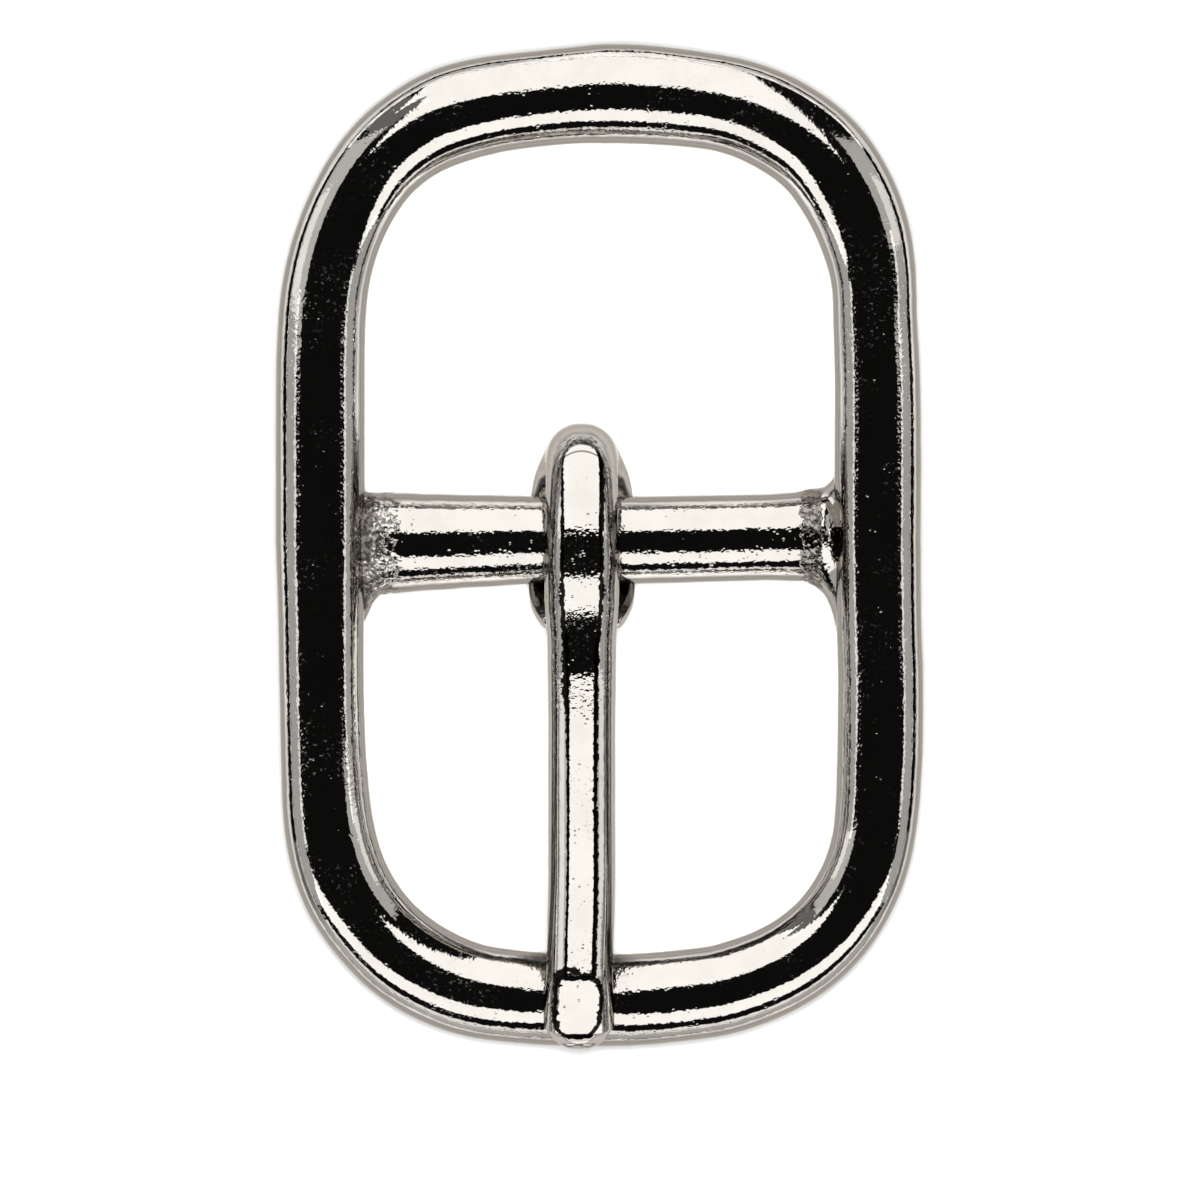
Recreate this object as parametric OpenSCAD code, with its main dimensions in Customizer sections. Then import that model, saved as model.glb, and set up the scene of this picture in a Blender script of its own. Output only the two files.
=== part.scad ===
// Girth buckle: an oval ring of round metal wire with a sunken centre bar welded across it, and a stout
// wire tongue that wraps round the bar, dips in front of it and rests its flattened tip on the lower rail.
// Sizes are in millimetres. The buckle lies on its back: X runs across the strap, Y along it towards the
// upper rail, Z up out of the front face. The origin is below the middle of the outline, on the table.

/* [Frame] */
// Clear width inside the ring from side rail to side rail
inner_width = 25.66; // [25.2:0.02:26.1]
// Thickness of the wire at the side rails and the corners
side_wire = 4.9; // [4.7:0.05:5.1]
// Distance from the bar's axis to the middle of the upper rail
top_reach = 24.47; // [24:0.01:25]
// Thickness of the wire at the middle of the upper rail
top_wire = 5.55; // [5.2:0.05:5.8]
// Sideways shift of the highest point of the upper rail
top_apex_shift = 0.25; // [0:0.05:0.5]
// Radius of the short crown in the middle of the upper rail
top_crown_radius = 13.2; // [12:0.1:16]
// Angle that the upper crown falls away by on each side
top_crown_angle = 2.8; // [2:0.1:4]
// Length of the tapered stretch on each side of the upper crown
top_taper = 5; // [4:0.1:5.5]
// Radius of the upper corners
top_corner_radius = 9.15; // [8.8:0.05:9.5]
// Angle where an upper corner opens out into its shoulder
top_corner_angle = 54.7; // [50:0.1:58]
// Distance from the bar's axis to the middle of the lower rail
bottom_reach = 25.3; // [24.9:0.01:25.5]
// Thickness of the wire at the middle of the lower rail
bottom_wire = 5.06; // [4.9:0.02:5.2]
// Radius of the crown in the middle of the lower rail
bottom_crown_radius = 41.6; // [36:0.1:48]
// Angle that the lower crown falls away by on each side
bottom_crown_angle = 6.1; // [5:0.1:7]
// Length of the tapered stretch on each side of the lower crown
bottom_taper = 1.5; // [1:0.1:2.5]
// Radius of the lower corners
bottom_corner_radius = 10; // [9.6:0.05:10.2]
// Angle where a lower corner opens out into its shoulder
bottom_corner_angle = 55.3; // [52:0.1:58]

/* [Bar] */
// Thickness of the centre bar where the tongue turns on it
bar_d = 4.8; // [4.6:0.05:5]
// Thickness of the centre bar at its welded ends
bar_end_d = 5.3; // [5.1:0.05:5.5]
// Depth of the bar's axis behind the middle of the ring
bar_sink = 1.1; // [1:0.05:1.25]
// Length of the even stretch of bar on each side of its middle
bar_even_half = 5.6; // [5.2:0.1:7]
// Distance from the middle to the centre of the bar's rounded ends
bar_end_reach = 13.3; // [13:0.1:13.8]
// Thickness of the weld webs in the corners between bar and ring
web_thickness = 2.2; // [1.6:0.1:2.6]

/* [Tongue] */
// Thickness of the tongue's round wire
tongue_wire = 3.7; // [3.5:0.05:3.8]
// Width of the flat pressed along the front of the tongue
tongue_flat = 1.43; // [1:0.01:1.8]
// Sideways place of the tongue on the bar
tongue_shift = -1; // [-2:0.1:2]
// Height of the tongue's front above the bar's axis
hump_height = 5.83; // [5.75:0.01:6]
// Clearance between the tongue and what it turns on or rests on
clearance = 0.03; // [0.02:0.01:0.06]
// Thickness of the flattened tab behind the bar
tab_thickness = 0.9; // [0.8:0.05:1.1]
// Width of the flattened tab behind the bar
tab_width = 5.84; // [5.4:0.02:6]
// Distance from the bar's axis to the ridge where the tip begins
ridge_reach = 23.87; // [23.5:0.01:24.2]
// Distance from the bar's axis to the end of the tip
tip_reach = 28; // [27.9:0.01:28.2]
// Thickness of the spread wire at the tip
tip_wire = 3.86; // [3.7:0.02:3.95]
// Slope of the flattened front of the tip
tip_slope = 20; // [17:0.5:23]

/* [Hidden] */
$fn = 96;
far = 40;
side_r = side_wire / 2;
top_r = top_wire / 2;
bottom_r = bottom_wire / 2;
rail_x = inner_width / 2 + side_r;
bore_r = bar_d / 2 + clearance;
bar_z = bore_r + tab_thickness;
ring_z = bar_z + bar_sink;
bar_y = (tip_reach - top_reach - top_r) / 2;
step = 0.02;
lap = 0.1;
top_corner = corner_c(taper_start(top_reach, top_crown_radius, top_crown_angle), top_crown_angle,
    top_taper, top_corner_radius);
bottom_corner = corner_c(taper_start(bottom_reach, bottom_crown_radius, bottom_crown_angle),
    bottom_crown_angle, bottom_taper, bottom_corner_radius);

// Shape of the tongue's side view, measured from the bar's axis: y towards the upper rail, z to the front.
// A bend is given by its centre, and a direction on it by the angle its outward normal leans to +y.
wire_r = tongue_wire / 2;
flat_height = sqrt(wire_r * wire_r - tongue_flat * tongue_flat / 4);
wire_depth = flat_height + wire_r;
hump_y = -0.66;
loop_r = 8;
loop_angle = 43;
nose_r = 4.85;
nose_end = 150;
fall_r = 5.1;
fall_angle = 25;
dip_r = 8;
loop_c = [hump_y, hump_height - loop_r];
nose_c = loop_c + (loop_r - nose_r) * [sin(loop_angle), cos(loop_angle)];
fall_c = [hump_y, hump_height - fall_r];
dip_c = fall_c + (fall_r + dip_r) * [-sin(fall_angle), cos(fall_angle)];
rail_c = [-bottom_reach, bar_sink];
rest_r = bottom_r + clearance;
span = dip_c - rail_c;
shank_angle = asin((dip_r + wire_depth + rest_r) / norm(span)) - atan2(span[1], span[0]);
shank_n = [sin(shank_angle), cos(shank_angle)];
shank_top = shank_n * dip_c - dip_r;
shank_start = dip_c - (dip_r + flat_height) * shank_n;
ridge = [-ridge_reach, (shank_top + ridge_reach * shank_n[0]) / shank_n[1]];
shank_length = (shank_start[0] + ridge_reach) * shank_n[1] + (ridge[1] - shank_start[1]) * shank_n[0];
tip_r = tip_wire / 2;
tip_n = [-sin(tip_slope), cos(tip_slope)];
tip_flat_height = 0.82 * tip_r;
tip_end_y = tip_r - tip_reach;
tip_end = [tip_end_y, (tip_n * ridge - tip_flat_height - tip_n[0] * tip_end_y) / tip_n[1]];
tip_back = 3;
tip_top = tip_n * ridge;
tip_under = tip_n * rail_c + rest_r;

// Shape of the flattened back of the eye.
eye_inset = 0.95;
eye_c = [1.2, -0.5];
eye_r = 4.6;
eye_front_y = 2.3;
curl_angle = 50;
curl_length = 4.2;
nose_plan_r = 2;
nose_plan_y = 4.33;
shoulder = [tab_width * 0.476, 2.42];
tab_end_y = -2.64;

// Height of a line with outward normal n and offset d at the place y
function line_z(n, d, y) = (d - n[0] * y) / n[1];

// Places along a quarter of the ring: start of the taper, centre of the corner, centre of the shoulder
function taper_start(reach, crown_r, crown_a) = [crown_r * sin(crown_a), reach - crown_r + crown_r * cos(crown_a)];
function corner_c(start, crown_a, taper, corner_r) =
    start + taper * [cos(crown_a), -sin(crown_a)] - corner_r * [sin(crown_a), cos(crown_a)];
function shoulder_r(half, c, corner_r, corner_a) =
    (half - c[0] - corner_r * sin(corner_a)) / (1 - sin(corner_a));
function shoulder_c(half, c, corner_r, corner_a) =
    c + (corner_r - shoulder_r(half, c, corner_r, corner_a)) * [sin(corner_a), cos(corner_a)];

// Arc of round wire in the plane of the ring, from angle a0 to a1 measured from +Y towards +X
module ring_arc(c, radius, wire, a0, a1) {
    translate([c[0], c[1], 0])
        rotate([0, 0, 90 - a1])
            rotate_extrude(angle = a1 - a0)
                translate([radius, 0])
                    circle(r = wire);
}

// Quarter of a ring between its crown and its straight side. Every second piece of wire is thinner by
// the step and runs on into its neighbours by the lap, so that they join as one solid.
module ring_quarter(half, reach, wire, crown_r, crown_a, taper, corner_r, corner_a) {
    start = taper_start(reach, crown_r, crown_a);
    c2 = corner_c(start, crown_a, taper, corner_r);
    c3 = shoulder_c(half, c2, corner_r, corner_a);
    open_r = shoulder_r(half, c2, corner_r, corner_a);
    lap_angle = lap / open_r * 180 / PI;
    slope = (side_r - wire) / taper;
    translate([start[0] - lap * cos(crown_a), start[1] + lap * sin(crown_a), 0])
        rotate([0, 90, -crown_a])
            cylinder(h = taper + 2 * lap, r1 = wire - step - slope * lap, r2 = side_r - step + slope * lap);
    ring_arc(c2, corner_r, side_r, crown_a, corner_a);
    ring_arc(c3, open_r, side_r - step, corner_a - lap_angle, 90 + lap_angle);
}

module top_quarter(half) {
    ring_quarter(half, top_reach, top_r, top_crown_radius, top_crown_angle, top_taper,
        top_corner_radius, top_corner_angle);
}

module bottom_quarter(half) {
    ring_quarter(half, bottom_reach, bottom_r, bottom_crown_radius, bottom_crown_angle, bottom_taper,
        bottom_corner_radius, bottom_corner_angle);
}

// Straight side rail, x to the side, between the shoulders of the upper and lower quarters
module side_rail(upper_half) {
    upper = shoulder_c(upper_half, top_corner, top_corner_radius, top_corner_angle);
    lower = shoulder_c(rail_x, bottom_corner, bottom_corner_radius, bottom_corner_angle);
    translate([rail_x, -lower[1], 0])
        rotate([-90, 0, 0])
            cylinder(h = upper[1] + lower[1], r = side_r);
}

module ring() {
    translate([top_apex_shift, 0, 0]) {
        ring_arc([0, top_reach - top_crown_radius], top_crown_radius, top_r, -top_crown_angle, top_crown_angle);
        top_quarter(rail_x - top_apex_shift);
        mirror([1, 0, 0])
            top_quarter(rail_x + top_apex_shift);
    }
    mirror([0, 1, 0]) {
        ring_arc([0, bottom_reach - bottom_crown_radius], bottom_crown_radius, bottom_r, -bottom_crown_angle,
            bottom_crown_angle);
        bottom_quarter(rail_x);
        mirror([1, 0, 0])
            bottom_quarter(rail_x);
    }
    side_rail(rail_x - top_apex_shift);
    mirror([1, 0, 0])
        side_rail(rail_x + top_apex_shift);
}

// Bar turned about X: an even middle, two flares and two rounded ends
module bar() {
    end_r = bar_end_d / 2;
    bead_r = end_r + 0.05;
    rotate([0, 90, 0])
        rotate_extrude() {
            polygon([[0, -bar_end_reach], [end_r, -bar_end_reach], [bar_d / 2, -bar_even_half],
                [bar_d / 2, bar_even_half], [end_r, bar_end_reach], [0, bar_end_reach]]);
            for (side = [-1, 1])
                intersection() {
                    translate([0, side * bar_end_reach])
                        circle(r = bead_r);
                    translate([0, -2 * bar_end_reach])
                        square([bar_end_reach, 4 * bar_end_reach]);
                }
        }
}

// Weld web in the corner between bar and side rail, lx along the bar and ly along the rail. It reaches
// far enough into the rail to meet its receding back.
module web(lx, ly) {
    hollow = 0.4;
    root = 0.8;
    rail_root = 1.7;
    translate([0, 0, -web_thickness / 2])
        linear_extrude(height = web_thickness)
            polygon([[rail_root, -root], [rail_root, ly * hollow], [0, ly], [-lx * hollow * hollow, ly * hollow],
                [-lx * hollow, ly * hollow * hollow], [-lx, 0], [-lx, -root]]);
}

module webs() {
    corner_x = inner_width / 2;
    corner_y = bar_end_d / 2 - 0.2;
    translate([corner_x, corner_y, 0])
        web(1, 0.9);
    translate([-corner_x, corner_y, 0])
        mirror([1, 0, 0])
            web(0.5, 0.6);
    translate([corner_x, -corner_y, 0])
        mirror([0, 1, 0])
            web(2.2, 3.3);
    translate([-corner_x, -corner_y, 0])
        mirror([1, 0, 0])
            mirror([0, 1, 0])
                web(1.2, 1.8);
}

module frame() {
    color("Silver")
        translate([0, bar_y, bar_z]) {
            translate([0, 0, bar_sink])
                ring();
            bar();
            webs();
        }
}

// Section of the tongue's wire with its front flat, the front at +Y, thinner all round by less
module wire_section(less) {
    intersection() {
        circle(r = wire_r - less);
        translate([-wire_r, -wire_r])
            square([tongue_wire, wire_depth - less]);
    }
}

// Bend of the wire whose front is on the outside, from normal angle a0 to a1
module outer_bend(c, front_r, a0, a1, less) {
    translate([0, c[0], c[1]])
        rotate([90, 0, 90])
            rotate([0, 0, 90 - a1])
                rotate_extrude(angle = a1 - a0)
                    translate([front_r - flat_height, 0])
                        rotate(-90)
                            wire_section(less);
}

// Bend of the wire whose front is on the inside, from normal angle a0 to a1
module inner_bend(c, front_r, a0, a1, less) {
    translate([0, c[0], c[1]])
        rotate([90, 0, 90])
            rotate([0, 0, 270 - a1])
                rotate_extrude(angle = a1 - a0)
                    translate([front_r + flat_height, 0])
                        rotate(90)
                            wire_section(less);
}

// Plate as wide as w whose side view is the child shape
module side_plate(w) {
    translate([-w / 2, 0, 0])
        rotate([90, 0, 90])
            linear_extrude(height = w)
                children();
}

// Wedge of the side view from normal angle a0 to a1 about c
module wedge(c, a0, a1) {
    polygon([c, c + far * [sin(a0), cos(a0)], c + far * [sin(a1), cos(a1)]]);
}

module shank() {
    dip_lap = lap / (dip_r + flat_height) * 180 / PI;
    outer_bend(fall_c, fall_r, -fall_angle, 0, 0);
    inner_bend(dip_c, dip_r, -fall_angle - dip_lap, shank_angle + dip_lap, step);
    translate([0, shank_start[0], shank_start[1]])
        rotate([90 - shank_angle, 0, 0])
            linear_extrude(height = shank_length)
                wire_section(0);
}

// Side view of the space that the tip may fill
module tip_limits() {
    skin = 0.05;
    lift = 0.1;
    start_y = 1.2 - ridge_reach;
    end_y = -tip_reach - 1;
    shank_under = shank_top - wire_depth + lift;
    top = shank_top - skin;
    cross_y = (tip_under * shank_n[1] - shank_under * tip_n[1]) / (tip_n[0] * shank_n[1] - shank_n[0] * tip_n[1]);
    peak_y = (tip_top * shank_n[1] - top * tip_n[1]) / (tip_n[0] * shank_n[1] - shank_n[0] * tip_n[1]);
    polygon([[start_y, line_z(shank_n, shank_under, start_y)], [start_y, line_z(shank_n, top, start_y)],
        [peak_y, line_z(shank_n, top, peak_y)], [end_y, line_z(tip_n, tip_top, end_y)],
        [end_y, line_z(tip_n, tip_under, end_y)], [cross_y, line_z(tip_n, tip_under, cross_y)]]);
}

module tip() {
    intersection() {
        union() {
            translate([0, tip_end[0], tip_end[1]])
                rotate([tip_slope - 90, 0, 0])
                    cylinder(h = tip_back, r = tip_r);
            translate([0, tip_end[0], tip_end[1]])
                sphere(r = tip_r);
        }
        side_plate(2 * tip_wire)
            tip_limits();
    }
}

// Wire of the loop from the hump over the bar, round the nose and into the back
module loop_wire() {
    loop_lap = lap / (loop_r - flat_height) * 180 / PI;
    outer_bend(loop_c, loop_r, -loop_lap, loop_angle + loop_lap, step);
    intersection() {
        outer_bend(nose_c, nose_r, loop_angle, nose_end, 0);
        translate([0, 0, far / 2 - bore_r - tab_thickness])
            cube([far, far, far], center = true);
    }
}

// Side view of the flattened back of the loop
module back_side_view() {
    back_z = -bore_r - tab_thickness;
    intersection() {
        union() {
            intersection() {
                translate(loop_c)
                    circle(r = loop_r - eye_inset);
                wedge(loop_c, 15, loop_angle + 5);
            }
            translate(eye_c)
                circle(r = eye_r);
        }
        translate([eye_front_y, back_z])
            square(far);
    }
    translate([0, back_z])
        square([eye_front_y + 0.5, tab_thickness + 1]);
    intersection() {
        circle(r = bore_r + tab_thickness);
        wedge([0, 0], 180, 180 + curl_angle);
    }
    rotate(180 - curl_angle)
        translate([0, bore_r])
            square([curl_length, tab_thickness]);
}

// Outline of the flattened back seen from the front
module back_plan() {
    translate([0, nose_plan_y])
        circle(r = nose_plan_r);
    polygon([[-tab_width / 2, tab_end_y], [tab_width / 2, tab_end_y], shoulder,
        [nose_plan_r * 0.96, nose_plan_y + 0.4], [-nose_plan_r * 0.96, nose_plan_y + 0.4],
        [-shoulder[0], shoulder[1]]]);
    translate([0, tab_end_y])
        circle(r = tab_width / 2);
}

// Outline of the flattened back seen along the strap: narrow in front, full width behind
module back_end_view() {
    flank_x = wire_r;
    flank_z = hump_height - flat_height;
    crown_x = 0.62 * wire_r;
    full_z = -1.2;
    polygon([[-tab_width / 2, -far / 4], [tab_width / 2, -far / 4], [tab_width / 2, full_z],
        [flank_x, flank_z], [crown_x, hump_height], [-crown_x, hump_height], [-flank_x, flank_z],
        [-tab_width / 2, full_z]]);
}

module loop_back() {
    intersection() {
        side_plate(2 * tab_width)
            back_side_view();
        translate([0, 0, -far / 2])
            linear_extrude(height = far)
                back_plan();
        translate([0, far / 2, 0])
            rotate([90, 0, 0])
                linear_extrude(height = far)
                    back_end_view();
    }
}

module tongue() {
    color("Gainsboro")
        translate([tongue_shift, bar_y, bar_z])
            difference() {
                union() {
                    shank();
                    tip();
                    loop_wire();
                    loop_back();
                }
                rotate([0, 90, 0])
                    cylinder(h = 2 * tab_width, r = bore_r, center = true);
            }
}

frame();
tongue();
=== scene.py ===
"""Girth buckle: an oval ring of round wire with a centre bar welded across it, and a stout wire tongue that
wraps round the bar and rests its flattened tip on the lower rail. Bright nickel plate on a pale floor.
X runs along the bar, Y up the buckle and Z out of its front. Sizes are in millimetres until each mesh is
scaled to metres at the end of its making, and angles are in degrees unless a name says otherwise."""
import math

import bmesh
import bpy
from mathutils import Matrix, Vector, noise


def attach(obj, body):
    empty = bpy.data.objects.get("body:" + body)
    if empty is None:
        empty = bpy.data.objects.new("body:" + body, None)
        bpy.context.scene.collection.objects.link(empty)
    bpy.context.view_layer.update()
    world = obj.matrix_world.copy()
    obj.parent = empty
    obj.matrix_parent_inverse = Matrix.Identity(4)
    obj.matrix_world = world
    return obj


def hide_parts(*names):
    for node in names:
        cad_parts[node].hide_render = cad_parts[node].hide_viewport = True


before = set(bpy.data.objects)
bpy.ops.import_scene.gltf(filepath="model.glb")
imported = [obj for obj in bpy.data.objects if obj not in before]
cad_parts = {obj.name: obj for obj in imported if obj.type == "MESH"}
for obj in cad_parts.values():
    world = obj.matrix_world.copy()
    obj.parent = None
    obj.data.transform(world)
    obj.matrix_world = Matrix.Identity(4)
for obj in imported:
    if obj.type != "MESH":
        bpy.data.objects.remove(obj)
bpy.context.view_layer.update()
MM = 0.001

# Places shared by the pieces: the bar's axis, which is also the hinge, how far the ring's middle lies in
# front of it, the radius of the tongue's eye, and the tongue's place along the bar
BAR_Y = 0.3775
BAR_Z = 3.33
RING_RISE = 1.1
BORE_R = 2.46
TONGUE_X = -1.0


def smoothstep(low, high, x):
    """0 below low and 1 above high, eased between."""
    t = min(max((x - low) / (high - low), 0.0), 1.0)
    return t * t * (3 - 2 * t)


def soft_min(a, b, blend):
    """The smaller of two values, rounded off where they are nearer than blend."""
    h = max(blend - abs(a - b), 0.0) / blend
    return min(a, b) - h * h * blend / 4


def lerp(a, b, t):
    return a + (b - a) * t


def smooth_table(rows, s):
    """Value at s of a table of (place, value) rows, eased from row to row."""
    if s <= rows[0][0]:
        return rows[0][1]
    for (s0, v0), (s1, v1) in zip(rows, rows[1:]):
        if s <= s1:
            return lerp(v0, v1, smoothstep(s0, s1, s))
    return rows[-1][1]


def lean(degrees):
    """Unit vector that leans away from the second axis, towards the first, by an angle."""
    a = math.radians(degrees)
    return Vector((math.sin(a), math.cos(a)))


def round_edge(run):
    """Height of a quarter circle of radius 1, 0 at the start of its run and 1 at the end."""
    left = 1 - run
    return math.sqrt(1 - left * left)


def spline(rows, s, column=1):
    """Value at s of a column of a table whose first column is the place, on a smooth curve through its
    rows."""
    if s <= rows[0][0]:
        return rows[0][column]
    if s >= rows[-1][0]:
        return rows[-1][column]
    i = max(k for k, row in enumerate(rows) if row[0] <= s)
    slopes = []
    for k in (i, i + 1):
        before, after = rows[max(k - 1, 0)], rows[min(k + 1, len(rows) - 1)]
        slopes.append((after[column] - before[column]) / (after[0] - before[0]))
    length = rows[i + 1][0] - rows[i][0]
    t = (s - rows[i][0]) / length
    return (rows[i][column] * (1 + 2 * t) * (1 - t) ** 2 + rows[i + 1][column] * t * t * (3 - 2 * t)
            + length * (slopes[0] * t * (1 - t) ** 2 - slopes[1] * t * t * (1 - t)))


def circle_edges(verts):
    """Edges of a fresh circle of points, each once and in the same order every time."""
    return list(dict.fromkeys(e for v in verts for e in v.link_edges))


def skin(bm, rims):
    """Covers a row of circles, closes its two ends and turns its faces out."""
    for first, second in zip(rims, rims[1:]):
        bmesh.ops.bridge_loops(bm, edges=first + second)
    for rim in (rims[0], rims[-1]):
        bmesh.ops.holes_fill(bm, edges=rim, sides=0)
    bmesh.ops.recalc_face_normals(bm, faces=bm.faces)


# How far the drawn-out webs of the welds face up at most, as far as the painted flank shade goes
WEB_FACING = 0.36


def finish_piece(bm, name, body, material, *nodes):
    """Makes a smooth object of the mesh, in metres, riding on a body and in place of CAD nodes. For the
    painted flank shade and dark reflection lines, the mesh keeps how far its surface faces up (facing)
    and towards +Y (toward)."""
    bmesh.ops.scale(bm, vec=(MM, MM, MM), verts=bm.verts)
    mesh = bpy.data.meshes.new(name)
    bm.to_mesh(mesh)
    bm.free()
    mesh.shade_smooth()
    toward = mesh.attributes.new("toward", "FLOAT", "POINT")
    toward.data.foreach_set("value", [v.normal.y for v in mesh.vertices])
    facing = mesh.attributes.new("facing", "FLOAT", "POINT")
    facing.data.foreach_set("value", [v.normal.z for v in mesh.vertices])
    # Points drawn into the webs of the welds count as facing less, so they get the painted flank shade
    if "web_shade" in mesh.attributes:
        shade_share = [d.value for d in mesh.attributes["web_shade"].data]
        facing.data.foreach_set("value", [lerp(v.normal.z, min(v.normal.z, WEB_FACING), w)
                                          for v, w in zip(mesh.vertices, shade_share)])
    piece = bpy.data.objects.new(name, mesh)
    bpy.context.scene.collection.objects.link(piece)
    mesh.materials.append(material)
    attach(piece, body)
    if nodes:
        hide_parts(*nodes)


# ---------------------------------------------------------------- materials

class Sock:
    """A socket that takes part in Python expressions and adds a Math node for each operator."""

    def __init__(self, tree, out):
        self.tree, self.out = tree, out

    def math(self, kind, *others):
        return self.tree.node("ShaderNodeMath", {"operation": kind}, [self, *others])

    def __add__(self, o):
        return self.math("ADD", o)

    def __radd__(self, o):
        return self.math("ADD", o)

    def __sub__(self, o):
        return self.math("SUBTRACT", o)

    def __rsub__(self, o):
        return self.tree.node("ShaderNodeMath", {"operation": "SUBTRACT"}, [o, self])

    def __mul__(self, o):
        return self.math("MULTIPLY", o)

    def __rmul__(self, o):
        return self.math("MULTIPLY", o)

    def max(self, o):
        return self.math("MAXIMUM", o)

    def abs(self):
        return self.math("ABSOLUTE")

    def ramp(self, low, high):
        """0 below low and 1 above high, eased between."""
        return self.tree.node("ShaderNodeMapRange", {"interpolation_type": "SMOOTHSTEP"},
                              {"Value": self, "From Min": low, "From Max": high})


class Finish:
    """One procedural material and the nodes it is made of."""

    def __init__(self, name):
        self.material = bpy.data.materials.new(name)
        self.material.use_nodes = True
        self.nodes = self.material.node_tree.nodes
        self.links = self.material.node_tree.links
        self.shader = self.nodes["Principled BSDF"]

    def node(self, kind, settings, values, output=0):
        made = self.nodes.new(kind)
        for key, value in settings.items():
            setattr(made, key, value)
        pairs = values.items() if isinstance(values, dict) else enumerate(values)
        for key, value in pairs:
            self.feed(made.inputs[key], value)
        return Sock(self, made.outputs[output])

    def feed(self, socket, value):
        if isinstance(value, Sock):
            self.links.new(value.out, socket)
        else:
            socket.default_value = value

    def place(self):
        return self.node("ShaderNodeTexCoord", {}, {}, "Object")

    def axis(self, which):
        """Object X, Y or Z as a value, in metres."""
        return self.node("ShaderNodeSeparateXYZ", {}, [self.place()], which)

    def marked(self, name):
        """Value that the mesh keeps under a name."""
        return self.node("ShaderNodeAttribute", {"attribute_name": name}, {}, "Fac")

    def noise(self, scale, detail, roughness=0.5):
        """Cloudy pattern about 0.5; scale is in waves per metre."""
        return self.node("ShaderNodeTexNoise", {}, {"Vector": self.place(), "Scale": scale, "Detail": detail,
                                                    "Roughness": roughness}, "Fac")

    def cells(self, scale):
        """Distance to the nearest of scattered points, 0 at a point."""
        return self.node("ShaderNodeTexVoronoi", {"feature": "F1"}, {"Vector": self.place(), "Scale": scale},
                         "Distance")

    def mix(self, factor, a, b):
        """Colour a where factor is 0 and b where it is 1."""
        return self.node("ShaderNodeMix", {"data_type": "RGBA"}, {"Factor": factor, 6: a, 7: b}, 2)

    def bump(self, height, distance):
        return self.node("ShaderNodeBump", {}, {"Height": height, "Distance": distance, "Strength": 1.0},
                         "Normal")

    def set(self, **values):
        """Feeds the shader's sockets by name and gives back the material."""
        for key, value in values.items():
            self.feed(self.shader.inputs[key.replace("_", " ")], value)
        return self.material


NICKEL = (0.78, 0.75, 0.70, 1)
NICKEL_DEEP = (0.62, 0.585, 0.53, 1)
SOOT = (0.11, 0.097, 0.085, 1)
# Colour of the dark lines painted on the tongue: shade beside its flat and over its arch, and a line round
# its facet
DARK_LINE_TONE = (0.012, 0.010, 0.008, 1)
EDGE_TINT = (0.50, 0.47, 0.43, 1)
# Painted shade on the flanks of the ring, bar and welds, then on the tongue's, then the colour of the painted
# dark reflection lines
FLANK_SHADE = (0.266, 0.253, 0.240, 1)
TONGUE_FLANK_SHADE = (0.35, 0.333, 0.316, 1)
DARK_REFLECTION = (0.06, 0.055, 0.05, 1)

# Scales of the plate's patterns, in waves per metre
WAVES = {"fine": 4700, "broad": 1500, "pin_holes": 3100, "pin_patches": 1300, "clouds": 420, "grain": 5200,
         "grain_patches": 260, "line_patches": 90, "weld_lumps": 2300, "weld_crust": 2600, "grime": 3600, "dark_line": 3000}

# Over which change of facing the bright plate turns to the painted shade of the flank, and how much lower
# the second painted dark reflection line runs
EDGE_EASE, SECOND_LINE = 0.14, 0.19
# Heights over the lumps and the crust of the welds, in millimetres
WELD_LUMPS, WELD_CRUST = 0.065, 0.03


def plate_relief(f, ripple, pits, calm, smooth_corners):
    """Height of the plate in millimetres, with its broad waves and its pin holes."""
    fine = f.noise(WAVES["fine"], 1)
    broad = f.noise(WAVES["broad"], 1)
    sparse = f.noise(WAVES["pin_patches"], 1).ramp(0.53, 0.68)
    hole = (1 - f.cells(WAVES["pin_holes"]).ramp(0.10, 0.34)) * sparse
    height = (fine + broad * 0.8) * ripple - hole * pits
    if calm is not None:
        y, (low, high) = f.axis("Y"), calm
        quiet = y.ramp(low * MM, (low + 1) * MM) * (1 - y.ramp((high - 2) * MM, high * MM))
        height = height * (1 - quiet * 0.8)
    if smooth_corners:
        corner = f.axis("X").abs().ramp(3 * MM, 8 * MM) * f.axis("Y").abs().ramp(12 * MM, 16 * MM)
        height = height * (1 - corner * 0.5)
    return height, broad, hole


def paint_flank_shade(f, colour, broad, reflection_line, edge, flank_shade):
    """Painted shade on the flanks of the wire, where it faces up less, with a strong and a faint
    painted dark reflection line. The strong one is weaker where the surface faces down the buckle."""
    up = f.marked("facing") + (broad - 0.5) * 0.06
    # The strong painted line comes and goes in patches along the wire
    shade_share = f.noise(WAVES["line_patches"], 2).ramp(0.3, 0.6)
    below = (0 - f.marked("toward")).ramp(0.25, 0.50)
    strong = (shade_share * (reflection_line * 0.7) + reflection_line * 0.3) * (1 - below * 0.85)
    # Painted shade: where the wire faces up less it turns to the flank's darker colour
    colour = f.mix(1 - up.ramp(edge - EDGE_EASE, edge), colour, flank_shade)
    # Two painted dark reflection lines run along the flank
    for place, half, strength in ((edge, 0.09, strong), (edge - SECOND_LINE, 0.05, reflection_line * 0.45)):
        line = up.ramp(place - half, place - half * 0.4) * (1 - up.ramp(place + half * 0.4, place + half))
        colour = f.mix(line * strength, colour, DARK_REFLECTION)
    return colour


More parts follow.
